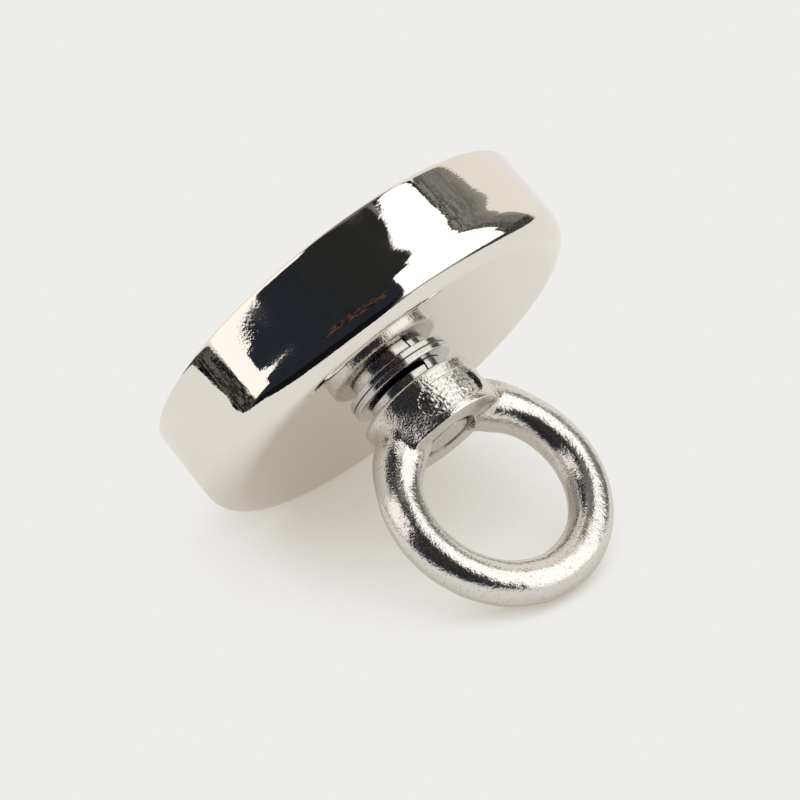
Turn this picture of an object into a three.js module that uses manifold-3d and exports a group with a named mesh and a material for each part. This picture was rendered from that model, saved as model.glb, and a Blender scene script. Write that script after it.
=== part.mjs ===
// Magnet fishing magnet: a steel pot magnet carried by an eye nut on a through bolt
//
// Millimetres, +Z up. The origin is the centre of the working face, the flat that
// sticks to steel, and +Z runs along the bolt to the eye. The eye's ring lies in the
// XZ plane, so a rope passes through it along Y.

import * as THREE from 'three';
import { mergeVertices } from 'three/addons/utils/BufferGeometryUtils.js';
import Module from 'manifold-3d';

const wasm = await Module();
wasm.setup();

// Pot: the nickel-plated steel cup
const POT_DIAMETER = 75;
const POT_HEIGHT = 18;
const POT_FLOOR = 8.8;
const POT_WALL = 6.2;
const POT_REAR_FILLET = 5.3;
const POT_FRONT_ROUND = 1;
const POCKET_MOUTH_CHAMFER = 0.4;
const POT_HOLE_DIAMETER = 10.6;
const POT_HOLE_CHAMFER = 0.4;

// Magnet, its resin and the steel pole in the middle
const MAGNET_RECESS = 0.2;
const MAGNET_CHAMFER = 0.5;
const OUTER_RESIN_WIDTH = 1.3;
const INNER_RESIN_WIDTH = 1.5;
const RESIN_RECESS = 0.3;
const RESIN_DIP = 0.2;
const POLE_DIAMETER = 26;
const POLE_REGISTER_DEPTH = 1;
const POLE_EDGE_CHAMFER = 0.3;

// Countersunk bolt with a hexagon socket
const BOLT_DIAMETER = 10;
const BOLT_LENGTH = 30;
const BOLT_HEAD_DIAMETER = 19.6;
const BOLT_HEAD_LAND = 0.4;
const BOLT_HEAD_RECESS = 0.5;
const BOLT_END_CHAMFER = 0.9;
const SOCKET_ACROSS_FLATS = 6;
const SOCKET_DEPTH = 3.8;

// Washers under the eye nut
const FLAT_WASHER_DIAMETER = 19.7;
const FLAT_WASHER_BORE = 10.5;
const FLAT_WASHER_THICKNESS = 1.2;
const FLAT_WASHER_ROUND = 0.25;
const SPRING_WASHER_DIAMETER = 14.9;
const SPRING_WASHER_BORE = 10.3;
const SPRING_WASHER_THICKNESS = 2.6;
const SPRING_WASHER_CHAMFER = 0.2;
const SPRING_WASHER_SLIT = 0.4;
const SPRING_WASHER_SLIT_SLANT = THREE.MathUtils.degToRad(8);
const SPRING_WASHER_SLIT_PLACE = THREE.MathUtils.degToRad(92);

// Eye nut: a threaded collar with a ring cast on it
const COLLAR_DIAMETER = 21.5;
const COLLAR_HEIGHT = 9.1;
const COLLAR_SEAT_ROUND = 0.8;
const COLLAR_TOP_ROUND = 0.5;
const NUT_MOUTH_CHAMFER = 0.4;
const RING_INNER_DIAMETER = 26.2;
const RING_WIRE_DIAMETER = 7.9;
const RING_CENTRE_ABOVE_SEAT = 21.6;
const LEG_FLARE = 0.6;
const LEG_FLARE_START = THREE.MathUtils.degToRad(62);
const LEG_FLARE_END = THREE.MathUtils.degToRad(38);
const PANEL_WIDTH = 13;
const PANEL_HEIGHT = 5.3;
const PANEL_DEPTH = 0.5;
const PANEL_ABOVE_SEAT = 2.4;

// Clearances: glued or pressed faces, the running thread, and cuts past a surface
const BOND_GAP = 0.05;
const THREAD_GAP = 0.05;
const OVERRUN = 2;

// Faces round each turned piece and along each rounded edge
const LARGE_STEPS = 80;
const SMALL_STEPS = 48;
const FILLET_STEPS = 10;
const ROUND_STEPS = 3;
const RING_STEPS = 60;
const WIRE_STEPS = 20;

// Radii and heights that several pieces share
const potRadius = POT_DIAMETER / 2;
const pocketRadius = potRadius - POT_WALL;
const pocketDepth = POT_HEIGHT - POT_FLOOR;
const magnetRadius = pocketRadius - OUTER_RESIN_WIDTH;
const poleRadius = POLE_DIAMETER / 2;
const magnetBoreRadius = poleRadius + INNER_RESIN_WIDTH;
const potHoleRadius = POT_HOLE_DIAMETER / 2;
const boltRadius = BOLT_DIAMETER / 2;
const boltHeadRadius = BOLT_HEAD_DIAMETER / 2;
const boltConeTop = BOLT_HEAD_RECESS + BOLT_HEAD_LAND;
const flatWasherSeat = POT_HEIGHT;
const springWasherSeat = flatWasherSeat + FLAT_WASHER_THICKNESS;
const nutSeat = springWasherSeat + SPRING_WASHER_THICKNESS;
const collarTop = nutSeat + COLLAR_HEIGHT;
const ringCentre = nutSeat + RING_CENTRE_ABOVE_SEAT;
const wireRadius = RING_WIRE_DIAMETER / 2;
const ringRadius = RING_INNER_DIAMETER / 2 + wireRadius;
const nutBoreRadius = boltRadius + THREAD_GAP;

// Materials
const metal = (colour, roughness) =>
  new THREE.MeshStandardMaterial({ color: colour, roughness, metalness: 1 });

const nickelPlate = metal(0xdcd7cb, 0.12);
const magnetPlate = metal(0xc9c8c4, 0.28);
const poleSteel = metal(0xbfbcb4, 0.3);
const boltSteel = metal(0xaaa8a2, 0.32);
const washerSteel = metal(0xbcb9b2, 0.25);
const castStainless = metal(0xb7b3aa, 0.3);
const resin = new THREE.MeshStandardMaterial({ color: 0x1b1b1c, roughness: 0.55, metalness: 0 });

// A profile point: distance from the axis, height
const point = (radius, height) => new THREE.Vector2(radius, height);

// Points along an arc of a profile, both ends included
function arc(centre, radius, from, to, steps) {
  return Array.from({ length: steps + 1 }, (_, i) => {
    const angle = THREE.MathUtils.degToRad(from + ((to - from) * i) / steps);
    return point(centre.x + radius * Math.cos(angle), centre.y + radius * Math.sin(angle));
  });
}

// A geometry with its shared vertices merged, so that it is one closed surface
function closed(geometry) {
  const bare = geometry.clone();
  bare.deleteAttribute('normal');
  bare.deleteAttribute('uv');
  const merged = mergeVertices(bare);
  merged.computeVertexNormals();
  return merged;
}

// A turned piece: the profile runs anticlockwise and is closed here
function turned(profile, steps) {
  const lathe = new THREE.LatheGeometry([...profile, profile[0].clone()], steps);
  return closed(lathe.rotateX(Math.PI / 2));
}

// Solids for joining and cutting, and back again
function toSolid(geometry) {
  const shell = closed(geometry);
  const mesh = new wasm.Mesh({
    numProp: 3,
    vertProperties: new Float32Array(shell.attributes.position.array),
    triVerts: new Uint32Array(shell.index.array),
  });
  return new wasm.Manifold(mesh);
}

function toGeometry(solid) {
  const mesh = solid.getMesh();
  const geometry = new THREE.BufferGeometry();
  geometry.setAttribute('position', new THREE.BufferAttribute(mesh.vertProperties, 3));
  geometry.setIndex(new THREE.BufferAttribute(mesh.triVerts, 1));
  geometry.computeVertexNormals();
  return geometry;
}

function piece(name, geometry, material) {
  const mesh = new THREE.Mesh(geometry, material);
  mesh.name = name;
  return mesh;
}

// Steel pot: a deep rear fillet outside, the magnet pocket and the pole's register inside
function potCup() {
  const registerTop = pocketDepth + POLE_REGISTER_DEPTH;
  const registerRadius = poleRadius + BOND_GAP;
  const frontRound = point(potRadius - POT_FRONT_ROUND, POT_FRONT_ROUND);
  const rearFillet = point(potRadius - POT_REAR_FILLET, POT_HEIGHT - POT_REAR_FILLET);
  const profile = [
    point(pocketRadius, POCKET_MOUTH_CHAMFER),
    point(pocketRadius + POCKET_MOUTH_CHAMFER, 0),
    ...arc(frontRound, POT_FRONT_ROUND, -90, 0, ROUND_STEPS),
    ...arc(rearFillet, POT_REAR_FILLET, 0, 90, FILLET_STEPS),
    point(potHoleRadius + POT_HOLE_CHAMFER, POT_HEIGHT),
    point(potHoleRadius, POT_HEIGHT - POT_HOLE_CHAMFER),
    point(potHoleRadius, registerTop),
    point(registerRadius, registerTop),
    point(registerRadius, pocketDepth),
    point(pocketRadius, pocketDepth),
  ];
  return piece('pot_cup', turned(profile, LARGE_STEPS), nickelPlate);
}

// Ring magnet, seated on the pot's floor a little below the rim
function ringMagnet() {
  const profile = [
    point(magnetBoreRadius + MAGNET_CHAMFER, MAGNET_RECESS),
    point(magnetRadius - MAGNET_CHAMFER, MAGNET_RECESS),
    point(magnetRadius, MAGNET_RECESS + MAGNET_CHAMFER),
    point(magnetRadius, pocketDepth - MAGNET_CHAMFER),
    point(magnetRadius - MAGNET_CHAMFER, pocketDepth),
    point(magnetBoreRadius + MAGNET_CHAMFER, pocketDepth),
    point(magnetBoreRadius, pocketDepth - MAGNET_CHAMFER),
    point(magnetBoreRadius, MAGNET_RECESS + MAGNET_CHAMFER),
  ];
  return piece('ring_magnet', turned(profile, LARGE_STEPS), magnetPlate);
}

// Cast resin between two round walls, its face drawn in a little by curing
function resinRing(name, innerRadius, outerRadius, steps) {
  const inner = innerRadius + BOND_GAP;
  const outer = outerRadius - BOND_GAP;
  const profile = [
    point(inner, RESIN_RECESS),
    point((inner + outer) / 2, RESIN_RECESS + RESIN_DIP),
    point(outer, RESIN_RECESS),
    point(outer, pocketDepth),
    point(inner, pocketDepth),
  ];
  return piece(name, turned(profile, steps), resin);
}

// Steel pole in the middle of the magnet, countersunk for the bolt's head
function centrePole() {
  const foot = pocketDepth + POLE_REGISTER_DEPTH;
  const mouthRadius = boltHeadRadius + BOND_GAP;
  const boreRadius = potHoleRadius;
  const coneEnd = boltConeTop + mouthRadius - boreRadius;
  const profile = [
    point(mouthRadius, 0),
    point(poleRadius - POLE_EDGE_CHAMFER, 0),
    point(poleRadius, POLE_EDGE_CHAMFER),
    point(poleRadius, foot - POLE_EDGE_CHAMFER),
    point(poleRadius - POLE_EDGE_CHAMFER, foot),
    point(boreRadius, foot),
    point(boreRadius, coneEnd),
    point(mouthRadius, boltConeTop),
  ];
  return piece('centre_pole', turned(profile, SMALL_STEPS), poleSteel);
}

// Countersunk bolt: it runs from the working face to the inside of the eye
function countersunkBolt() {
  const end = BOLT_HEAD_RECESS + BOLT_LENGTH;
  const profile = [
    point(0, BOLT_HEAD_RECESS),
    point(boltHeadRadius, BOLT_HEAD_RECESS),
    point(boltHeadRadius, boltConeTop),
    point(boltRadius, boltConeTop + boltHeadRadius - boltRadius),
    point(boltRadius, end - BOLT_END_CHAMFER),
    point(boltRadius - BOLT_END_CHAMFER, end),
    point(0, end),
  ];
  const socketRadius = SOCKET_ACROSS_FLATS / Math.sqrt(3);
  const socketLength = SOCKET_DEPTH + OVERRUN;
  const socket = new THREE.CylinderGeometry(socketRadius, socketRadius, socketLength, 6);
  socket.rotateX(Math.PI / 2);
  socket.translate(0, 0, BOLT_HEAD_RECESS + SOCKET_DEPTH - socketLength / 2);
  const blank = toSolid(new THREE.LatheGeometry(profile, SMALL_STEPS).rotateX(Math.PI / 2));
  const bolt = blank.subtract(toSolid(socket));
  return piece('countersunk_bolt', toGeometry(bolt), boltSteel);
}

// Punched flat washer on the pot's rear face
function flatWasher() {
  const inner = FLAT_WASHER_BORE / 2;
  const outer = FLAT_WASHER_DIAMETER / 2;
  const top = springWasherSeat;
  const round = FLAT_WASHER_ROUND;
  const profile = [
    point(inner, flatWasherSeat),
    ...arc(point(outer - round, flatWasherSeat + round), round, -90, 0, ROUND_STEPS),
    ...arc(point(outer - round, top - round), round, 0, 90, ROUND_STEPS),
    point(inner, top),
  ];
  return piece('flat_washer', turned(profile, SMALL_STEPS), washerSteel);
}

// Split spring washer, squeezed flat, with a slanted cut through its ring
function springWasher() {
  const inner = SPRING_WASHER_BORE / 2;
  const outer = SPRING_WASHER_DIAMETER / 2;
  const chamfer = SPRING_WASHER_CHAMFER;
  const profile = [
    point(inner, springWasherSeat),
    point(outer - chamfer, springWasherSeat),
    point(outer, springWasherSeat + chamfer),
    point(outer, nutSeat - chamfer),
    point(outer - chamfer, nutSeat),
    point(inner, nutSeat),
  ];
  const blade = new THREE.BoxGeometry(outer, SPRING_WASHER_SLIT, SPRING_WASHER_THICKNESS * 2);
  blade.translate((inner + outer) / 2, 0, 0);
  blade.rotateX(SPRING_WASHER_SLIT_SLANT);
  blade.rotateZ(SPRING_WASHER_SLIT_PLACE);
  blade.translate(0, 0, (springWasherSeat + nutSeat) / 2);
  const washer = toSolid(turned(profile, SMALL_STEPS)).subtract(toSolid(blade));
  return piece('spring_washer', toGeometry(washer), washerSteel);
}

// Ring of the eye: a torus about Y whose two legs thicken towards the collar
function ringGeometry() {
  const ring = new THREE.TorusGeometry(ringRadius, wireRadius, WIRE_STEPS, RING_STEPS);
  ring.rotateX(Math.PI / 2);
  const places = ring.attributes.position;
  const spot = new THREE.Vector3();
  const centreLine = new THREE.Vector3();
  for (let i = 0; i < places.count; i += 1) {
    spot.fromBufferAttribute(places, i);
    const fromFoot = Math.abs(Math.atan2(spot.x, -spot.z));
    const flare = THREE.MathUtils.smoothstep(-fromFoot, -LEG_FLARE_START, -LEG_FLARE_END);
    centreLine.set(spot.x, 0, spot.z).setLength(ringRadius);
    spot.sub(centreLine).setLength(wireRadius + LEG_FLARE * flare).add(centreLine);
    places.setXYZ(i, spot.x, spot.y, spot.z);
  }
  return ring.translate(0, 0, ringCentre);
}

// Stadium-shaped cutter that stands across the collar, for the recessed panels
function panelCutter() {
  const radius = PANEL_HEIGHT / 2;
  const reach = PANEL_WIDTH / 2 - radius;
  const stadium = new THREE.Shape();
  stadium.absarc(reach, 0, radius, -Math.PI / 2, Math.PI / 2);
  stadium.absarc(-reach, 0, radius, Math.PI / 2, (Math.PI * 3) / 2);
  const depth = COLLAR_DIAMETER + OVERRUN;
  const cutter = new THREE.ExtrudeGeometry(stadium, {
    depth,
    bevelEnabled: false,
    curveSegments: FILLET_STEPS,
  });
  cutter.translate(0, 0, -depth / 2);
  cutter.rotateX(Math.PI / 2);
  return cutter.translate(0, 0, nutSeat + PANEL_ABOVE_SEAT + radius);
}

// Sleeve round the collar that is as deep as the panels are
function panelSleeve() {
  const inner = COLLAR_DIAMETER / 2 - PANEL_DEPTH;
  const outer = COLLAR_DIAMETER / 2 + OVERRUN;
  return turned(
    [point(inner, nutSeat), point(outer, nutSeat), point(outer, collarTop), point(inner, collarTop)],
    SMALL_STEPS,
  );
}

// Threaded hole through the collar, opened out at both mouths
function nutBore() {
  const mouthRadius = nutBoreRadius + NUT_MOUTH_CHAMFER;
  const exit = ringCentre - ringRadius + wireRadius + LEG_FLARE;
  const end = Math.max(exit, collarTop) + OVERRUN;
  return new THREE.LatheGeometry(
    [
      point(0, nutSeat - OVERRUN),
      point(mouthRadius, nutSeat - OVERRUN),
      point(mouthRadius, nutSeat),
      point(nutBoreRadius, nutSeat + NUT_MOUTH_CHAMFER),
      point(nutBoreRadius, collarTop - NUT_MOUTH_CHAMFER),
      point(mouthRadius, collarTop),
      point(mouthRadius, end),
      point(0, end),
    ],
    SMALL_STEPS,
  ).rotateX(Math.PI / 2);
}

// Eye nut: collar and ring joined, bored through, with a bare panel on each broad side
function eyeNut() {
  const radius = COLLAR_DIAMETER / 2;
  const seatRound = point(radius - COLLAR_SEAT_ROUND, nutSeat + COLLAR_SEAT_ROUND);
  const topRound = point(radius - COLLAR_TOP_ROUND, collarTop - COLLAR_TOP_ROUND);
  const collar = new THREE.LatheGeometry(
    [
      point(0, nutSeat),
      ...arc(seatRound, COLLAR_SEAT_ROUND, -90, 0, ROUND_STEPS),
      ...arc(topRound, COLLAR_TOP_ROUND, 0, 90, ROUND_STEPS),
      point(0, collarTop),
    ],
    SMALL_STEPS,
  ).rotateX(Math.PI / 2);
  const panels = toSolid(panelCutter()).intersect(toSolid(panelSleeve()));
  const nut = toSolid(collar)
    .subtract(panels)
    .add(toSolid(ringGeometry()))
    .subtract(toSolid(nutBore()));
  return piece('eye_nut', toGeometry(nut), castStainless);
}

const magnet = new THREE.Group();
magnet.add(
  potCup(),
  ringMagnet(),
  resinRing('outer_resin_ring', magnetRadius, pocketRadius, LARGE_STEPS),
  resinRing('inner_resin_ring', poleRadius, magnetBoreRadius, SMALL_STEPS),
  centrePole(),
  countersunkBolt(),
  flatWasher(),
  springWasher(),
  eyeNut(),
);

export default magnet;
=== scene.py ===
# Magnet fishing magnet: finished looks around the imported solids
#
# Lengths are millimetres up to the point where a mesh is made, then metres. The frame is
# the part's own: the origin is the centre of the working face and +Z runs to the eye.

import math

import bpy
import numpy as np
from mathutils import Matrix, Vector


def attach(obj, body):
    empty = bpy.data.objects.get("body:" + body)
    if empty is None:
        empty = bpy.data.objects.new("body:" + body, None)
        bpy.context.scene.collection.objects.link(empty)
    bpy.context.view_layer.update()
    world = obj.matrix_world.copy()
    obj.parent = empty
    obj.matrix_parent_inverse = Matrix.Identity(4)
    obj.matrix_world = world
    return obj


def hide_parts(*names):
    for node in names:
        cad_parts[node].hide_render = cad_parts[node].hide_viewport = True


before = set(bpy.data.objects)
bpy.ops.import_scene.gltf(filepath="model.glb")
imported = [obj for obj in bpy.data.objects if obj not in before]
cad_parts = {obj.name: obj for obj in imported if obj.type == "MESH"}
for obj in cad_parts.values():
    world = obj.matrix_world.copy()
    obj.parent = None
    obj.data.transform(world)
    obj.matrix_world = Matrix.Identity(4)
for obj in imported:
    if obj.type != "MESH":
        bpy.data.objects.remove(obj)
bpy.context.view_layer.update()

MM = 0.001

# Pot
POT_RADIUS = 37.5
POT_HEIGHT = 18.0
POT_REAR_FILLET = 5.3
POCKET_RADIUS = 31.3
POCKET_DEPTH = 9.2
POCKET_CHAMFER = 0.4
HOLE_RADIUS = 5.3
HOLE_CHAMFER = 0.4
CHAMFER_ROUND = 0.12
RIM_EDGE_ROUND = 0.05

# The pot's wall isn't quite straight, which bends the windows that it mirrors. Each pair is a
# height and how fast the radius grows there with the height. The drop keeps the widest place
# just inside the pot's radius.
WALL_SLOPES = (
    (0.1, 1.2), (0.2, 0.5), (0.3, 0.2), (0.45, 0.07), (0.7, 0.03), (1.2, 0.022), (3, 0.0124),
    (6, 0.0085), (9, -0.0089), (10.3, 0.0126), (11.5, 0.0246), (12.7, -0.0431),
)
WALL_TOP_DROP = 0.017
RIM_START = 0.1
WALL_ROWS = ((RIM_START, 0.79, 0.05), (0.8, 1.6, 0.2), (1.9, 12.31, 0.4))

# Magnet, resin and pole
MAGNET_RADIUS = 30.0
MAGNET_BORE_RADIUS = 14.5
MAGNET_RECESS = 0.2
MAGNET_ROUND = 0.55
RESIN_RECESS = 0.3
RESIN_DIP = 0.2
RESIN_ROWS = 8
POLE_RADIUS = 13.0
POLE_FOOT = 10.2
POLE_EDGE_ROUND = 0.3
POLE_MOUTH_ROUND = 0.15
GAP = 0.05

# Bolt; the hexagon's corner and its round mouth are given as multiples of the apothem
BOLT_RADIUS = 5.0
BOLT_END = 30.75
BOLT_END_CHAMFER = 0.9
HEAD_RADIUS = 9.8
HEAD_FACE = 0.5
HEAD_LAND = 0.4
HEAD_EDGE_ROUND = 0.25
CONE_EDGE_ROUND = 0.1
UNDERHEAD_FILLET = 0.8
SOCKET_APOTHEM = 3.0
SOCKET_CORNER = 1.135
SOCKET_MOUTH = 1.16
SOCKET_DEPTH = 3.8
DRILL_POINT = 1.0
PITCH = 1.5
THREAD_START = 12.0
THREAD_DEPTH = 0.812
THREAD_ROW = 0.075

# Washers; the flat one's roundings go from the bore's lower edge round to its upper one
FLAT_WASHER_RADIUS = 9.85
FLAT_WASHER_BORE = 5.25
FLAT_WASHER_TOP = 19.2
FLAT_WASHER_ROUNDS = (0.1, 0.22, 0.3, 0.2)
SPRING_WASHER_RADIUS = 7.45
SPRING_WASHER_BORE = 5.15
SPRING_WASHER_ROUND = 0.22
SPRING_WASHER_SLIT = 0.4
SPRING_WASHER_RISE = 0.65
SLIT_SLANT = math.radians(-8)
SLIT_PLACE = math.radians(85.6)

# Eye nut
SEAT = 21.8
SEAT_EDGE_ROUND = 0.8
COLLAR_TOP = 30.9
COLLAR_RADIUS = 10.75
TOP_EDGE_ROUND = 0.4
RING_CENTRE = 43.4
RING_RADIUS = 17.05
WIRE_RADIUS = 3.95
WIRE_ALLOWANCE = 0.1
FOOT_FLARE = 0.6
FLARE_ANGLES = (math.radians(62), math.radians(38))
PARTING_HEIGHT = 0.06
PARTING_WIDTH = 0.3
PARTING_ANGLES = (math.radians(45), math.radians(60))
JOINT_WIDTH = 0.3
JOINT_SOFTENING = 1.1
JOINT_SPAN = (4.5, 8.5)
PANEL_REACH = 3.85
PANEL_RADIUS = 2.65
PANEL_DEPTH = 0.7
PANEL_CENTRE = 26.85
PANEL_EDGE = 0.06
BORE_TOP = 36.0
BORE_EDGE = 0.15
SURFACE_CELL = 0.18

# Swells of the cast surface and of its panels' floors: depth, wavelength and seed
CAST_SWELLS = ((0.02, 5.0, 3), (0.006, 1.7, 5), (0.004, 0.9, 7))
FLOOR_SWELLS = ((0.04, 1.0, 9), (0.02, 0.6, 11))

# The nut's thread, a sleeve sunk a little into the collar's bore
SLEEVE_RADIUS = 5.45
SLEEVE_SINK = 0.15
SLEEVE_INSET = 0.03
SLEEVE_ROWS = 122
MOUTH_SLOPE = 0.6
THREAD_PLAY = 0.06
NUT_CREST_CUT = 0.1

# Steps round the axis
POT_STEPS = 256
MAGNET_STEPS = 192
POLE_STEPS = 160
WASHER_STEPS = 144
THREAD_STEPS = 96

# Camera: the place and the axes that fit the outlines of the pot and of the ring
CAMERA_PLACE = Vector((-396.298, 578.314, 182.035)) * MM
CAMERA_RIGHT = Vector((0.71788635, 0.31584308, 0.62038886))
CAMERA_UP = Vector((0.42905065, 0.50105788, -0.75156938))
CAMERA_BACK = Vector((-0.54822872, 0.80571965, 0.22418994))
CAMERA_LENS = 192.78
SENSOR_WIDTH = 36

# Table top: its upward normal, and the level directions away from the camera and to its right
UP = Vector((0, 0.8155, -0.5788))
AWAY = Vector((0.6452, -0.4423, -0.6230))
RIGHT = Vector((0.7640, 0.3735, 0.5261))
TABLE_HEIGHT = -38.9
TABLE_CORNERS = ((-250, -242), (-156, 95), (-190, 240), (900, 300), (900, -242))
# The table's painted shade: how far it reaches, in millimetres, its dark and light ends as the metal
# mirrors it, and its darkest tint as the camera sees it
TABLE_SHADE_REACH = 45
TABLE_DARK = (168, 158, 139)
TABLE_LIGHT = (239, 237, 231)
TABLE_SHADE = (198, 191, 174)

# Corners in the studio: azimuth from AWAY towards RIGHT and height over the table, in degrees
RIGHT_WINDOW = (
    (134.9, -7.6), (146.1, 42.2), (151.3, 61), (146.3, 64.7),
    (106.5, 68.2), (80.4, 61.9), (79.4, -6.9),
)
SLANTED_PART = (
    (75.6, 11.8), (68.5, 53.5), (66.3, 60.2), (68.4, 66.3),
    (100, 66.8), (110.2, 46.6), (100.9, 10.7),
)
SLANTED_FRAME = (
    (78.9, 8.9), (66.7, 50.7), (64.2, 51.9), (68.6, 65),
    (100.9, 70.8), (112.1, 45.7), (100.8, 6.6),
)
LEFT_WINDOW = ((-114.1, -1.3), (-120, 8.8), (-86.6, 31.3), (-80.2, 16.3))
LEFT_UPPER_PART = (
    (-117.2, 7.2), (-128.6, 28.9), (-126.8, 61.6),
    (-96.8, 61.9), (-81.8, 27.4), (-94.5, 11.6),
)
LEFT_FAR_PART = ((-128, 34), (-137, 44.5), (-147, 56), (-147, 61), (-125, 64), (-120, 40))
STAND = (
    (52, -12.7), (46, 15.4), (52.8, 36), (61.3, 49.7),
    (77.9, 51.1), (88.2, 31.6), (87.9, -12),
)
SHELF = ((152, 24), (154, 42), (-158, 44), (-152, 26))
WINDOW_EDGE = 0.004
STAND_EDGE = 0.006
SHELF_EDGE = 0.03

# The studio's colours as they look on screen
BACKDROP, BACKDROP_TOP = (244, 239, 229), (110, 110, 109)
ROOM_LOW, ROOM_HIGH, ROOM_PATCH = (38, 42, 50), (42, 42, 41), (36, 38, 43)
SHELF_DARK, SHELF_BROWN = (31, 27, 27), (98, 72, 64)
CEILING_DARK, CEILING_LIGHT = (96, 97, 97), (140, 139, 136)
STAND_PALE, STAND_MIDDLE, STAND_DARK = (172, 166, 154), (112, 110, 106), (44, 43, 42)
STAND_SPECKS = (140, 138, 133)
UNDER_DARK, UNDER_SPECKS, UNDER_BEHIND = (18, 18, 20), (104, 101, 96), (20, 20, 23)
UNDER_GAP, FLOOR_PALE = (160, 156, 148), (232, 229, 222)
FRAME_DARK = (14, 14, 15)
SEEN_BACKDROP = (238, 237, 235)

# The windows, the metals and the resin as linear light
RIGHT_LIGHT, LEFT_LIGHT = (1.4, 1.38, 1.34), (1.24, 1.16, 1.11)
NICKEL = (0.83, 0.803, 0.755)
CAST_PITS, CAST_STEEL = (0.36, 0.34, 0.32), (0.75, 0.735, 0.71)
STEEL_DULL, STEEL_CLEAN = (0.56, 0.56, 0.56), (0.68, 0.675, 0.67)
# The nut's thread: steel painted darker as shade inside the bore, in dull and clean spots
THREAD_SHADED_DULL, THREAD_SHADED_CLEAN = (0.24, 0.23, 0.22), (0.44, 0.43, 0.41)
RESIN_DARK, RESIN_LIGHT = (0.012, 0.012, 0.013), (0.03, 0.03, 0.032)
# Colour of the painted shade in narrow gaps, and how near a surface must be for it, in millimetres
GAP_SHADE = (0.02, 0.019, 0.018)
GAP_SHADE_REACH = 1.4


def camera():
    data = bpy.data.cameras.new("camera")
    data.lens = CAMERA_LENS
    data.sensor_width = SENSOR_WIDTH
    data.clip_start = 0.05
    data.clip_end = 20
    made = bpy.data.objects.new("camera", data)
    bpy.context.scene.collection.objects.link(made)
    turn = Matrix((CAMERA_RIGHT, CAMERA_UP, CAMERA_BACK)).transposed().to_4x4()
    made.matrix_world = Matrix.Translation(CAMERA_PLACE) @ turn
    bpy.context.scene.camera = made


# Node building

def put(tree, kind, inputs=None, out=0, **settings):
    """Adds a node, sets or links its inputs, and returns one of its outputs."""
    made = tree.nodes.new(kind)
    for name, value in settings.items():
        setattr(made, name, value)
    for key, value in (inputs or {}).items():
        socket = made.inputs[key]
        if isinstance(value, bpy.types.NodeSocket):
            tree.links.new(value, socket)
        else:
            socket.default_value = value
    return made.outputs[out]


def calc(tree, operation, a, b=0.0):
    return put(tree, "ShaderNodeMath", {0: a, 1: b}, operation=operation)


def dot(tree, vector, constant):
    inputs = {0: vector, 1: tuple(constant)}
    return put(tree, "ShaderNodeVectorMath", inputs, "Value", operation="DOT_PRODUCT")


def ramp(tree, value, low, high, start=0.0, end=1.0):
    """A smooth step from start to end as value goes from low to high."""
    return put(
        tree,
        "ShaderNodeMapRange",
        {"Value": value, "From Min": low, "From Max": high, "To Min": start, "To Max": end},
        interpolation_type="SMOOTHSTEP",
    )


def blend_colours(tree, share, first, second):
    """first where share is 0 and second where it is 1."""
    made = tree.nodes.new("ShaderNodeMix")
    made.data_type = "RGBA"
    tree.links.new(share, made.inputs[0])
    for socket, value in ((made.inputs[6], first), (made.inputs[7], second)):
        if isinstance(value, bpy.types.NodeSocket):
            tree.links.new(value, socket)
        else:
            socket.default_value = (*value, 1)
    return made.outputs[2]


def srgb(colour):
    """A colour given as it looks on screen, 0 to 255, as linear light."""
    return tuple(((v / 255 + 0.055) / 1.055) ** 2.4 if v > 10 else v / 255 / 12.92 for v in colour)


def noise(tree, place, scale, detail, roughness=0.5):
    return put(
        tree,
        "ShaderNodeTexNoise",
        {"Vector": place, "Scale": scale, "Detail": detail, "Roughness": roughness},
        "Fac",
    )


def openness(tree, reach, samples):
    """1 where nothing is within reach, in millimetres, and less where something is."""
    inputs = {"Distance": reach * MM}
    return put(
        tree, "ShaderNodeAmbientOcclusion", inputs, "AO", samples=samples, only_local=False
    )


# The studio: what the metal mirrors, by direction alone

def direction(azimuth, height):
    a, h = math.radians(azimuth), math.radians(height)
    return (AWAY * math.cos(a) + RIGHT * math.sin(a)) * math.cos(h) + UP * math.sin(h)


def panel(tree, towards, corners, softness=WINDOW_EDGE):
    """1 inside the area that the corners (azimuth, height) span, 0 outside it."""
    spots = [direction(*c) for c in corners]
    middle = sum(spots, Vector()).normalized()
    share = None
    for a, b in zip(spots, spots[1:] + spots[:1]):
        side = a.cross(b).normalized()
        if side.dot(middle) < 0:
            side = -side
        edge = ramp(tree, dot(tree, towards, side), -softness, softness)
        share = edge if share is None else calc(tree, "MULTIPLY", share, edge)
    return share


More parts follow.
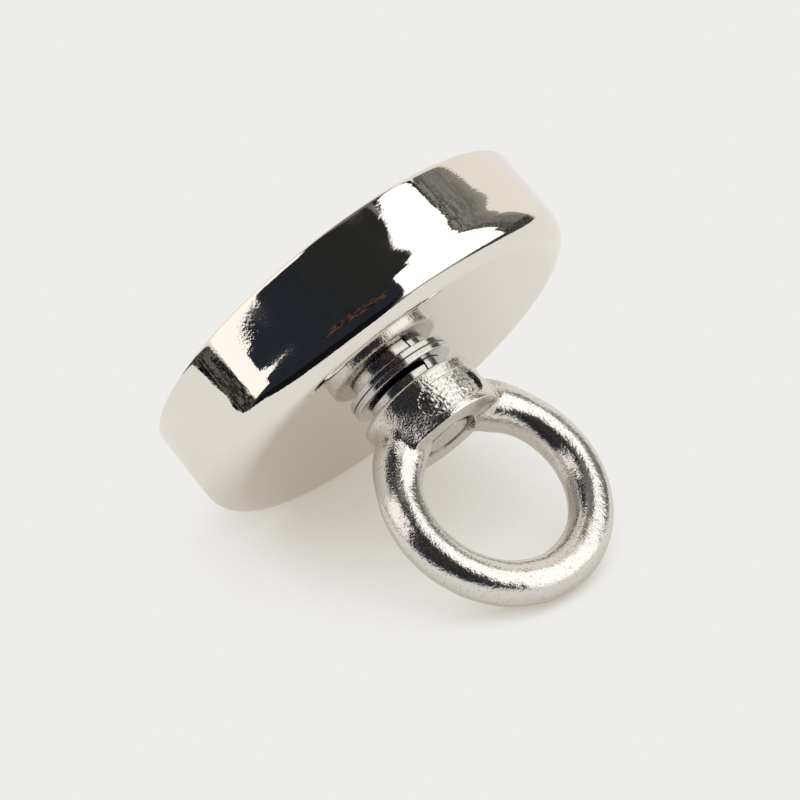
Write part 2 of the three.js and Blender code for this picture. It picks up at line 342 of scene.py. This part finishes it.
def studio():
    world = bpy.data.worlds.new("studio")
    bpy.context.scene.world = world
    world.use_nodes = True
    tree = world.node_tree
    tree.nodes.clear()
    towards = put(tree, "ShaderNodeTexCoord", out="Generated")
    away, right, up = (dot(tree, towards, v) for v in (AWAY, RIGHT, UP))
    azimuth = calc(tree, "MULTIPLY", calc(tree, "ARCTAN2", right, away), 180 / math.pi)
    behind = calc(tree, "ABSOLUTE", azimuth)
    height = calc(tree, "MULTIPLY", calc(tree, "ARCSINE", up), 180 / math.pi)
    patches = noise(tree, towards, 7.0, 3.0)
    lumps = noise(tree, towards, 16.0, 2.0)
    specks = noise(tree, towards, 60.0, 2.0)

    def over(share, below, colour):
        return blend_colours(tree, share, below, colour)

    # Pale backdrop, dark above it, and the dark room behind the camera
    colour = over(ramp(tree, height, 60, 70), srgb(BACKDROP), srgb(BACKDROP_TOP))
    room = over(ramp(tree, height, 35, 66), srgb(ROOM_LOW), srgb(ROOM_HIGH))
    room = over(ramp(tree, patches, 0.5, 0.75), room, srgb(ROOM_PATCH))
    colour = over(ramp(tree, behind, 109, 113), colour, room)
    # A shelf far behind the camera, brownish and broken up, and the ceiling over everything
    things = over(ramp(tree, lumps, 0.45, 0.62), srgb(SHELF_DARK), srgb(SHELF_BROWN))
    colour = over(panel(tree, towards, SHELF, SHELF_EDGE), colour, things)
    ceiling = over(patches, srgb(CEILING_DARK), srgb(CEILING_LIGHT))
    colour = over(ramp(tree, height, 71, 77), colour, ceiling)
    # A speckled stand beside the right window, darker towards it
    stand = over(ramp(tree, azimuth, 46, 56), srgb(STAND_PALE), srgb(STAND_MIDDLE))
    stand = over(ramp(tree, azimuth, 59, 71), stand, srgb(STAND_DARK))
    stand = over(ramp(tree, specks, 0.46, 0.62), stand, srgb(STAND_SPECKS))
    colour = over(panel(tree, towards, STAND, STAND_EDGE), colour, stand)
    # Below the table's edges: dark near the edge, pale further down
    under = over(ramp(tree, specks, 0.44, 0.6), srgb(UNDER_DARK), srgb(UNDER_SPECKS))
    under = over(ramp(tree, behind, 114, 120), under, srgb(UNDER_BEHIND))
    gap = calc(tree, "MULTIPLY", ramp(tree, azimuth, 94, 110), ramp(tree, azimuth, 140, 130))
    under = over(gap, under, srgb(UNDER_GAP))
    aside = ramp(tree, behind, 44, 56)
    low = calc(tree, "MULTIPLY", ramp(tree, height, 0.5, -1), aside)
    colour = over(low, colour, under)
    colour = over(ramp(tree, height, -30, -42), colour, srgb(FLOOR_PALE))
    # The two windows, the right one with a slanted part in a dark frame
    right_light, slanted_light, left_light = (
        panel(tree, towards, corners) for corners in (RIGHT_WINDOW, SLANTED_PART, LEFT_WINDOW)
    )
    for corners in (LEFT_UPPER_PART, LEFT_FAR_PART):
        left_light = calc(tree, "MAXIMUM", left_light, panel(tree, towards, corners))
    colour = over(panel(tree, towards, SLANTED_FRAME), colour, srgb(FRAME_DARK))
    colour = over(calc(tree, "MAXIMUM", right_light, slanted_light), colour, RIGHT_LIGHT)
    colour = over(left_light, colour, LEFT_LIGHT)
    seen = put(tree, "ShaderNodeLightPath", out="Is Camera Ray")
    colour = over(seen, colour, srgb(SEEN_BACKDROP))
    glow = put(tree, "ShaderNodeBackground", {"Color": colour, "Strength": 1.0})
    end = tree.nodes.new("ShaderNodeOutputWorld")
    tree.links.new(glow, end.inputs["Surface"])


def table():
    """A see-through table top: the camera sees only the painted shade on it, soft and darker near
    the object, and the metal mirrors it as cream with the same painted shade."""
    base = UP * TABLE_HEIGHT
    spots = [base + AWAY * a + RIGHT * r for a, r in TABLE_CORNERS]
    mesh = bpy.data.meshes.new("table")
    mesh.from_pydata([tuple(s * MM) for s in spots], [], [(0, 1, 4), (1, 2, 4), (2, 3, 4)])
    made = bpy.data.objects.new("table", mesh)
    bpy.context.scene.collection.objects.link(made)
    material = bpy.data.materials.new("table")
    material.use_nodes = True
    material.cycles.emission_sampling = "NONE"
    tree = material.node_tree
    tree.nodes.clear()
    share = openness(tree, TABLE_SHADE_REACH, 16)
    shade = blend_colours(tree, ramp(tree, share, 0.0, 0.7), srgb(TABLE_SHADE), (1.0, 1.0, 1.0))
    clear = put(tree, "ShaderNodeBsdfTransparent", {"Color": shade})
    # The cream that the metal mirrors, with painted shade near the object
    lit = blend_colours(tree, share, srgb(TABLE_DARK), srgb(TABLE_LIGHT))
    glow = put(tree, "ShaderNodeEmission", {"Color": lit, "Strength": 1.0})
    seen = put(tree, "ShaderNodeLightPath", out="Is Camera Ray")
    above = put(tree, "ShaderNodeMixShader", {0: seen, 1: glow, 2: clear})
    below = put(tree, "ShaderNodeBsdfTransparent")
    back = put(tree, "ShaderNodeNewGeometry", out="Backfacing")
    whole = put(tree, "ShaderNodeMixShader", {0: back, 1: above, 2: below})
    end = tree.nodes.new("ShaderNodeOutputMaterial")
    tree.links.new(whole, end.inputs["Surface"])
    mesh.materials.append(material)


# Materials

def new_material(name, build, metallic=1.0):
    """A material that build(tree, surface, place) fills in, place being in millimetres."""
    material = bpy.data.materials.new(name)
    material.use_nodes = True
    tree = material.node_tree
    surface = tree.nodes["Principled BSDF"]
    surface.inputs["Metallic"].default_value = metallic
    spot = put(tree, "ShaderNodeTexCoord", out="Object")
    place = put(tree, "ShaderNodeVectorMath", {0: spot, "Scale": 1 / MM}, operation="SCALE")
    build(tree, surface, place)
    return material


def paint(tree, surface, colour):
    tree.links.new(colour, surface.inputs["Base Color"])


def roughen(tree, surface, place, scale, detail, low, high):
    """Roughness that goes between low and high in soft patches."""
    rough = ramp(tree, noise(tree, place, scale, detail), 0.3, 0.7, low, high)
    tree.links.new(rough, surface.inputs["Roughness"])


def relief(tree, surface, height, depth, below=None):
    inputs = {"Height": height, "Distance": depth * MM, "Strength": 1.0}
    if below is not None:
        inputs["Normal"] = below
    made = put(tree, "ShaderNodeBump", inputs, "Normal")
    tree.links.new(made, surface.inputs["Normal"])
    return made


def shade_gaps(tree, colour, low, high):
    """The colour, darkened in the narrow gaps as painted shade."""
    return blend_colours(tree, ramp(tree, openness(tree, GAP_SHADE_REACH, 8), low, high), GAP_SHADE, colour)


def plated(tree, surface, place):
    """Bright plate over turned steel: a fine grain that frays the edges of what it mirrors."""
    surface.inputs["Base Color"].default_value = (*NICKEL, 1)
    normal = relief(tree, surface, noise(tree, place, 2.1, 1.0), 0.004)
    relief(tree, surface, noise(tree, place, 0.3, 1.0), 0.008, normal)
    roughen(tree, surface, place, 0.15, 3.0, 0.01, 0.05)


def cast(tree, surface, place):
    """Cast and tumbled: a dense grain with darker pits, coarser on the collar than on the ring."""
    height = put(tree, "ShaderNodeSeparateXYZ", {0: place}, "Z")
    coarse = ramp(tree, height, COLLAR_TOP - 2, COLLAR_TOP + 1.5, 1.4, 1.0)
    grain = calc(tree, "MULTIPLY", noise(tree, place, 2.8, 1.0), coarse)
    normal = relief(tree, surface, grain, 0.045)
    relief(tree, surface, noise(tree, place, 0.8, 1.0), 0.03, normal)
    pits = ramp(tree, noise(tree, place, 2.6, 3.0, 0.6), 0.3, 0.42)
    colour = blend_colours(tree, pits, CAST_PITS, CAST_STEEL)
    # Painted shade darkens the cast colour in narrow gaps and recesses
    paint(tree, surface, shade_gaps(tree, colour, 0.2, 0.72))
    roughen(tree, surface, place, 1.6, 3.0, 0.14, 0.22)


def turned_steel(tree, surface, place, low=0.08, high=0.42):
    """Machined and tumbled steel with a fine grain; low and high set how far the painted shade in
    its gaps spreads.
    """
    relief(tree, surface, noise(tree, place, 4.0, 3.0), 0.01)
    spots = ramp(tree, noise(tree, place, 1.6, 3.0), 0.3, 0.6)
    colour = blend_colours(tree, spots, STEEL_DULL, STEEL_CLEAN)
    paint(tree, surface, shade_gaps(tree, colour, low, high))
    roughen(tree, surface, place, 1.2, 2.0, 0.1, 0.2)


def bolt_steel(tree, surface, place):
    """The same steel with painted shade in the socket, in the thread and on the chamfer of its end.
    """
    turned_steel(tree, surface, place, 0.35, 0.9)


def cut_thread(tree, surface, place):
    """A cut thread in steel painted darker as shade inside the bore, with more painted shade in its
    grooves.
    """
    surface.inputs["Roughness"].default_value = 0.4
    spots = ramp(tree, noise(tree, place, 2.4, 2.0), 0.3, 0.6)
    colour = blend_colours(tree, spots, THREAD_SHADED_DULL, THREAD_SHADED_CLEAN)
    paint(tree, surface, shade_gaps(tree, colour, 0.35, 0.95))
    relief(tree, surface, noise(tree, place, 3.0, 1.0), 0.02)


def cast_resin(tree, surface, place):
    """Black resin, matt and a little uneven."""
    mottle = noise(tree, place, 0.8, 4.0)
    paint(tree, surface, blend_colours(tree, mottle, RESIN_DARK, RESIN_LIGHT))
    roughen(tree, surface, place, 0.5, 3.0, 0.3, 0.6)
    relief(tree, surface, noise(tree, place, 1.5, 3.0), 0.05)


# Meshes

def volume(points, faces):
    """Six times the volume inside the faces, negative where they face inwards."""
    total = 0.0
    for face in faces:
        first = points[face[:, 0]]
        for k in range(1, face.shape[1] - 1):
            sides = np.cross(points[face[:, k]], points[face[:, k + 1]])
            total += np.einsum("ij,ij->i", first, sides).sum()
    return total


def shown(name, points, faces, body, slot, material, replaced=None, crease=32):
    """A piece from points in millimetres and from arrays of faces, turned to face outwards."""
    if volume(points, faces) < 0:
        faces = [f[:, ::-1] for f in faces]
    mesh = bpy.data.meshes.new(name)
    rings = [tuple(f) for group in faces for f in group.tolist()]
    mesh.from_pydata((points * MM).tolist(), [], rings)
    mesh.shade_smooth()
    mesh.set_sharp_from_angle(angle=math.radians(crease))
    mesh.materials.append(material)
    made = bpy.data.objects.new(name, mesh)
    bpy.context.scene.collection.objects.link(made)
    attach(made, body)
    if replaced:
        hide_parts(replaced)


def rounded(corners, steps, hug=0.12):
    """An outline from corners (radius, height, rounding), with points close to each arc so that
    the flats stay flat."""
    made = []
    count = len(corners)
    for i, (r, z, q) in enumerate(corners):
        here = np.array((r, z), float)
        if q <= 0:
            made.append(here)
            continue
        before = np.array(corners[i - 1][:2], float) - here
        after = np.array(corners[(i + 1) % count][:2], float) - here
        u, w = before / np.linalg.norm(before), after / np.linalg.norm(after)
        half = math.acos(np.clip(u @ w, -1, 1)) / 2
        reach = q / math.tan(half)
        centre = here + (u + w) / np.linalg.norm(u + w) * q / math.sin(half)
        start, end = here + u * reach - centre, here + w * reach - centre
        turn = math.pi - 2 * half
        made.append(centre + start + u * hug * min(q, 1))
        for k in range(steps + 1):
            a = turn * k / steps
            made.append(centre + (start * math.sin(turn - a) + end * math.sin(a)) / math.sin(turn))
        made.append(centre + end + w * hug * min(q, 1))
    return made


def angles_round(steps):
    return 2 * math.pi * np.arange(steps) / steps


def turned(rows, steps, caps=None):
    """Points and faces of rows (radius, height) turned about Z; a row may hold one radius per
    step. Without caps the outline is a closed loop. caps are the heights of the middle points
    of its two open ends."""
    angles = angles_round(steps)
    c, s = np.cos(angles), np.sin(angles)
    points = [np.stack([r * c, r * s, np.zeros(steps) + z], 1) for r, z in rows]
    count = len(rows)
    i = np.arange(steps)
    j = (i + 1) % steps
    spans = [(k, (k + 1) % count) for k in range(count if caps is None else count - 1)]
    quads = np.concatenate(
        [np.stack([a * steps + i, a * steps + j, b * steps + j, b * steps + i], 1) for a, b in spans]
    )
    points = np.concatenate(points)
    if caps is None:
        return points, [quads]
    first, last = len(points), len(points) + 1
    points = np.concatenate([points, [[0, 0, caps[0]], [0, 0, caps[1]]]])
    row = (count - 1) * steps
    fans = np.concatenate(
        [np.stack([i * 0 + first, j, i], 1), np.stack([i * 0 + last, row + i, row + j], 1)]
    )
    return points, [quads, fans]


def thread(height, angle):
    """Radius of the bolt's thread at a height and angle: flanks at 60 degrees, flat crests and
    roots."""
    share = (height / PITCH - angle / (2 * math.pi)) % 1
    from_crest = np.abs(share - 0.5) * PITCH
    drop = np.clip((from_crest - PITCH / 16) * math.sqrt(3), 0, THREAD_DEPTH)
    return BOLT_RADIUS - drop


def wall_radius(z):
    """The pot's outer wall: its slopes added up from the rear rounding down to z."""
    top = WALL_SLOPES[-1][0]
    below = max(top - z, 0)
    slopes = np.interp(np.linspace(top - below, top, 601), *zip(*WALL_SLOPES))
    return POT_RADIUS - WALL_TOP_DROP - slopes.mean() * below


def pot(material):
    heights = np.concatenate([np.arange(*span) for span in WALL_ROWS])
    outline = rounded(
        [
            (POCKET_RADIUS, POCKET_CHAMFER, CHAMFER_ROUND),
            (POCKET_RADIUS + POCKET_CHAMFER, 0, CHAMFER_ROUND),
            (wall_radius(RIM_START) - RIM_START, 0, RIM_EDGE_ROUND),
            *[(wall_radius(z), z, 0) for z in heights],
            (POT_RADIUS, POT_HEIGHT, POT_REAR_FILLET),
            (HOLE_RADIUS + HOLE_CHAMFER, POT_HEIGHT, CHAMFER_ROUND),
            (HOLE_RADIUS, POT_HEIGHT - HOLE_CHAMFER, CHAMFER_ROUND),
            (HOLE_RADIUS, POLE_FOOT, 0),
            (POLE_RADIUS + GAP, POLE_FOOT, 0),
            (POLE_RADIUS + GAP, POCKET_DEPTH, 0),
            (POCKET_RADIUS, POCKET_DEPTH, 0),
        ],
        steps=20,
    )
    made = turned(outline, POT_STEPS)
    shown("plated_pot", *made, "pot", "nickel_plate", material, "pot_cup")


def magnet(material):
    low, high = MAGNET_RECESS, POCKET_DEPTH
    inner, outer, q = MAGNET_BORE_RADIUS, MAGNET_RADIUS, MAGNET_ROUND
    corners = [(inner, low, q), (outer, low, q), (outer, high, q), (inner, high, q)]
    made = turned(rounded(corners, steps=8), MAGNET_STEPS)
    shown("plated_magnet", *made, "pot", "magnet_plate", material, "ring_magnet")


def resin_band(name, node, inner, outer, material):
    """Cast resin between two walls, its face drawn in by curing and a little uneven round it."""
    angles = angles_round(MAGNET_STEPS)
    inner, outer = inner + GAP, outer - GAP
    wave = 0.5 + 0.25 * np.sin(3 * angles + inner) + 0.25 * np.sin(7 * angles + 2 * inner)
    rows = [(outer, POCKET_DEPTH), (inner, POCKET_DEPTH)]
    for k in range(RESIN_ROWS + 1):
        across = k / RESIN_ROWS
        dip = RESIN_DIP * math.sin(math.pi * across) ** 0.7
        rows.append((inner + (outer - inner) * across, RESIN_RECESS + dip * (0.75 + 0.25 * wave)))
    shown(name, *turned(rows, MAGNET_STEPS), "pot", "resin", material, node)


def pole(material):
    mouth = HEAD_RADIUS + GAP
    cone_top = HEAD_FACE + HEAD_LAND
    outline = rounded(
        [
            (mouth, 0, POLE_MOUTH_ROUND),
            (POLE_RADIUS, 0, POLE_EDGE_ROUND),
            (POLE_RADIUS, POLE_FOOT, POLE_EDGE_ROUND),
            (HOLE_RADIUS, POLE_FOOT, 0),
            (HOLE_RADIUS, cone_top + mouth - HOLE_RADIUS, 0),
            (mouth, cone_top, CONE_EDGE_ROUND),
        ],
        steps=6,
    )
    made = turned(outline, POLE_STEPS)
    shown("turned_pole", *made, "pot", "pole_steel", material, "centre_pole")


def bolt(material):
    """Countersunk bolt: hexagon socket, head, shank and a real thread up to its chamfered end."""
    angles = angles_round(THREAD_STEPS)
    sector = (angles + math.pi / 6) % (math.pi / 3) - math.pi / 6
    hexagon = np.minimum(SOCKET_APOTHEM / np.cos(sector), SOCKET_APOTHEM * SOCKET_CORNER)
    mouth = SOCKET_APOTHEM * SOCKET_MOUTH
    floor = HEAD_FACE + SOCKET_DEPTH
    cone_top = HEAD_FACE + HEAD_LAND
    # The socket, from its drill point over the floor and the walls to its round mouth
    rows = [
        (0.4, floor + 0.85),
        (SOCKET_APOTHEM - 0.35, floor + 0.02),
        (SOCKET_APOTHEM - 0.2, floor),
        (hexagon - 0.02, floor),
        (hexagon, floor - 0.05),
        (hexagon, HEAD_FACE + 0.35),
        (hexagon + 0.06, HEAD_FACE + 0.2),
        (np.maximum(hexagon + 0.2, mouth), HEAD_FACE + 0.04),
        (mouth + 0.25, HEAD_FACE),
        (mouth + 0.4, HEAD_FACE),
    ]
    head = rounded(
        [
            (mouth, HEAD_FACE, 0),
            (HEAD_RADIUS, HEAD_FACE, HEAD_EDGE_ROUND),
            (HEAD_RADIUS, cone_top, CONE_EDGE_ROUND),
            (BOLT_RADIUS, cone_top + HEAD_RADIUS - BOLT_RADIUS, UNDERHEAD_FILLET),
            (BOLT_RADIUS, THREAD_START, 0),
        ],
        steps=6,
    )
    rows += [(r, z) for r, z in head[1:]]
    end = BOLT_RADIUS - BOLT_END_CHAMFER
    for z in np.arange(THREAD_START + THREAD_ROW, BOLT_END - 1e-6, THREAD_ROW):
        fade = np.clip((z - THREAD_START) / PITCH, 0, 1)
        crest = BOLT_RADIUS - (BOLT_RADIUS - thread(z, angles)) * fade
        rows.append((np.minimum(crest, end + (BOLT_END - z)), z))
    rows += [(end - 0.02, BOLT_END), (end - 0.2, BOLT_END)]
    made = turned(rows, THREAD_STEPS, (floor + DRILL_POINT, BOLT_END))
    shown("threaded_bolt", *made, "pot", "bolt_steel", material, "countersunk_bolt")


def flat_washer(material):
    bore, radius = FLAT_WASHER_BORE, FLAT_WASHER_RADIUS
    low, high = POT_HEIGHT, FLAT_WASHER_TOP
    places = ((bore, low), (radius, low), (radius, high), (bore, high))
    outline = rounded([(*place, q) for place, q in zip(places, FLAT_WASHER_ROUNDS)], steps=6)
    made = turned(outline, WASHER_STEPS)
    shown("punched_washer", *made, "pot", "washer_steel", material, "flat_washer")


def spring_washer(material):
    """A bar of steel wound once, left-handed and nearly squeezed flat, cut off at a slant."""
    steps = WASHER_STEPS
    bore, radius, q = SPRING_WASHER_BORE, SPRING_WASHER_RADIUS, SPRING_WASHER_ROUND
    low, high = FLAT_WASHER_TOP, SEAT - SPRING_WASHER_RISE
    corners = [(bore, low, q), (radius, low, q), (radius, high, q), (bore, high, q)]
    section = np.array(rounded(corners, steps=5))
    middle = (low + high) / 2
    wide = (bore + radius) / 2
    half_slit = SPRING_WASHER_SLIT / 2 / wide
    around = np.linspace(SLIT_PLACE + half_slit, SLIT_PLACE + 2 * math.pi - half_slit, steps + 1)
    shear = math.tan(SLIT_SLANT) * (section[:, 1] - middle) / wide
    angle = around[:, None] - shear[None, :]
    rise = SPRING_WASHER_RISE * np.linspace(1, 0, steps + 1)[:, None]
    points = np.stack(
        [section[:, 0] * np.cos(angle), section[:, 0] * np.sin(angle), section[:, 1] + rise], -1
    ).reshape(-1, 3)
    count = len(section)
    i, k = np.meshgrid(np.arange(steps), np.arange(count), indexing="ij")
    m = (k + 1) % count
    quads = np.stack([i * count + k, i * count + m, (i + 1) * count + m, (i + 1) * count + k], -1)
    ends = np.array([np.arange(count)[::-1], steps * count + np.arange(count)])
    faces = [quads.reshape(-1, 4), ends]
    shown("split_washer", points, faces, "spring_washer", "washer_steel", material, "spring_washer")


def nut_thread(material):
    """The nut's thread: a sleeve let into the collar, opened out at both mouths."""
    angles = angles_round(THREAD_STEPS)
    low, high = SEAT + SLEEVE_INSET, COLLAR_TOP - SLEEVE_INSET
    mouth = SLEEVE_RADIUS - GAP
    crest = BOLT_RADIUS - THREAD_DEPTH + NUT_CREST_CUT
    rows = []
    for z in np.linspace(low, high, SLEEVE_ROWS):
        opened = max(mouth - (z - SEAT), mouth - MOUTH_SLOPE * (COLLAR_TOP - z))
        inner = np.maximum(thread(z, angles) + THREAD_PLAY, crest)
        rows.append((np.maximum(inner, opened), z))
    outer = SLEEVE_RADIUS + SLEEVE_SINK
    rows += [(outer, high), (outer, low)]
    shown("nut_thread", *turned(rows, THREAD_STEPS), "eye_nut", "cast_stainless", material)


# Eye nut as a surface of equal distance: a collar and a ring that run into each other

def least(a, b, width):
    """The smaller of two distances, with a soft hand-over of that width."""
    share = np.clip(0.5 + 0.5 * (b - a) / width, 0, 1)
    return b + (a - b) * share - width * share * (1 - share)


def most(a, b, width):
    return -least(-a, -b, width)


def step(value, low, high):
    t = np.clip((value - low) / (high - low), 0, 1)
    return t * t * (3 - 2 * t)


def swell(points, wavelength, seed, count=14):
    """A smooth uneven field, mostly between -1 and 1."""
    rng = np.random.default_rng(seed)
    ways = rng.normal(size=(count, 3))
    ways *= 2 * math.pi / wavelength / np.linalg.norm(ways, axis=1)[:, None]
    return np.sin(points @ ways.T + rng.uniform(0, 2 * math.pi, count)).sum(1) / math.sqrt(count)


def swells(points, kinds):
    return sum(depth * swell(points, wavelength, seed) for depth, wavelength, seed in kinds)


def eye_nut_distance(points):
    x, y, z = points.T
    across = np.hypot(x, y)
    # The collar, a cylinder with rounded edges
    middle, half = (SEAT + COLLAR_TOP) / 2, (COLLAR_TOP - SEAT) / 2
    edge = np.where(z < middle, SEAT_EDGE_ROUND, TOP_EDGE_ROUND)
    side, end = across - COLLAR_RADIUS + edge, np.abs(z - middle) - half + edge
    collar = np.minimum(np.maximum(side, end), 0)
    collar = collar + np.hypot(np.maximum(side, 0), np.maximum(end, 0)) - edge
    # The ring, thicker at its foot and with the mould's parting line higher up
    down = RING_CENTRE - z
    from_foot = np.abs(np.arctan2(x, down))
    flare_end, flare_start = FLARE_ANGLES
    flare = FOOT_FLARE * step(-from_foot, -flare_end, -flare_start)
    parting = PARTING_HEIGHT * np.exp(-((y / PARTING_WIDTH) ** 2)) * step(from_foot, *PARTING_ANGLES)
    wire = WIRE_RADIUS - WIRE_ALLOWANCE
    ring = np.hypot(np.hypot(x, down) - RING_RADIUS, y) - wire - flare - parting
    # Their joint, tight in the middle and softer towards the sides
    width = JOINT_WIDTH + JOINT_SOFTENING * step(np.abs(x), *JOINT_SPAN)
    body = least(collar, ring, width) + swells(points, CAST_SWELLS)
    # The panels in the collar's broad sides
    stadium = np.hypot(np.maximum(np.abs(x) - PANEL_REACH, 0), z - PANEL_CENTRE) - PANEL_RADIUS
    floor = COLLAR_RADIUS - PANEL_DEPTH - across
    near = (stadium < 1) & (np.abs(floor) < 1)
    floor[near] += swells(points[near], FLOOR_SWELLS)
    body = most(body, -most(stadium, floor, PANEL_EDGE), PANEL_EDGE)
    # The flat seat and the bore for the thread's sleeve
    body = np.maximum(body, SEAT - z)
    bore = np.maximum(across - SLEEVE_RADIUS, z - BORE_TOP)
    return most(body, -bore, BORE_EDGE)


def slope(distance, points, reach=0.02):
    made = np.empty_like(points)
    for axis in range(3):
        shift = np.zeros(3)
        shift[axis] = reach
        made[:, axis] = (distance(points + shift) - distance(points - shift)) / (2 * reach)
    return made


def settle(distance, points, times=3):
    """Moves the points onto the surface along its slope."""
    for _ in range(times):
        way = slope(distance, points)
        points = points - way * (distance(points) / np.maximum((way**2).sum(1), 1e-6))[:, None]
    return points


def lattice(low, counts, cell):
    axes = [low[i] + cell * np.arange(counts[i]) for i in range(3)]
    return np.stack(np.meshgrid(*axes, indexing="ij"), -1).reshape(-1, 3)


def skin(distance, low, high, cell, block=5):
    """Points and quads where distance is zero, one point in each cell of the grid that the
    surface crosses. Blocks of cells far from the surface are judged by their middles alone."""
    low = np.array(low, float)
    blocks = np.ceil((np.array(high, float) - low) / (cell * block)).astype(int)
    counts = blocks * block
    centres = lattice(low + cell * (block - 1) / 2, blocks, cell * block)
    apart = distance(centres)
    inside = np.repeat((apart < 0)[:, None], block**3, 1)
    near = np.abs(apart) < 1.3 * cell * block
    inner = lattice(np.full(3, -cell * (block - 1) / 2), (block,) * 3, cell)
    spots = (centres[near][:, None] + inner).reshape(-1, 3)
    inside[near] = (distance(spots) < 0).reshape(-1, block**3)
    inside = inside.reshape(*blocks, block, block, block).transpose(0, 3, 1, 4, 2, 5).reshape(counts)
    total = sum(
        inside[a : counts[0] - 1 + a, b : counts[1] - 1 + b, c : counts[2] - 1 + c].astype(np.int8)
        for a in (0, 1) for b in (0, 1) for c in (0, 1)
    )
    crossed = (total > 0) & (total < 8)
    number = -np.ones(total.shape, int)
    number[crossed] = np.arange(crossed.sum())
    points = low + cell * (np.argwhere(crossed) + 0.5)
    quads = []
    for axis in range(3):
        first = np.moveaxis(inside, axis, 0)
        cells = np.moveaxis(number, axis, 0)
        change = first[1:, 1:-1, 1:-1].astype(np.int8) - first[:-1, 1:-1, 1:-1]
        i, j, k = np.nonzero(change)
        loop = [cells[i, j, k], cells[i, j + 1, k], cells[i, j + 1, k + 1], cells[i, j, k + 1]]
        quad = np.stack(loop, 1)
        turn = change[i, j, k] > 0
        if axis == 1:
            turn = ~turn
        quad[turn] = quad[turn][:, ::-1]
        quads.append(quad)
    quads = np.concatenate(quads)
    # Evens the points out between their neighbours and brings them back to the surface
    for _ in range(5):
        points = settle(distance, points, 1)
        around = np.zeros_like(points)
        share = np.zeros(len(points))
        for a in range(4):
            np.add.at(around, quads[:, a], points[quads[:, (a + 1) % 4]] + points[quads[:, a - 1]])
            np.add.at(share, quads[:, a], 2)
        points = points + 0.5 * (around / share[:, None] - points)
    return settle(distance, points), [quads]


def eye_nut(material):
    reach = RING_RADIUS + WIRE_RADIUS + 1
    wide = COLLAR_RADIUS + 1
    low, high = (-reach, -wide, SEAT - 1), (reach, wide, RING_CENTRE + reach)
    made = skin(eye_nut_distance, low, high, SURFACE_CELL)
    shown("cast_eye_nut", *made, "eye_nut", "cast_stainless", material, "eye_nut", crease=60)


bpy.context.scene.view_settings.view_transform = "Standard"
camera()
studio()
table()
steel = new_material("washer_steel", turned_steel)
resin = new_material("resin", cast_resin, metallic=0.0)
pot(new_material("nickel_plate", plated))
magnet(new_material("magnet_plate", turned_steel))
resin_band("outer_resin", "outer_resin_ring", MAGNET_RADIUS, POCKET_RADIUS, resin)
resin_band("inner_resin", "inner_resin_ring", POLE_RADIUS, MAGNET_BORE_RADIUS, resin)
pole(steel)
bolt(new_material("bolt_steel", bolt_steel))
flat_washer(steel)
spring_washer(steel)
nut_thread(new_material("nut_thread", cut_thread))
eye_nut(new_material("cast_stainless", cast))
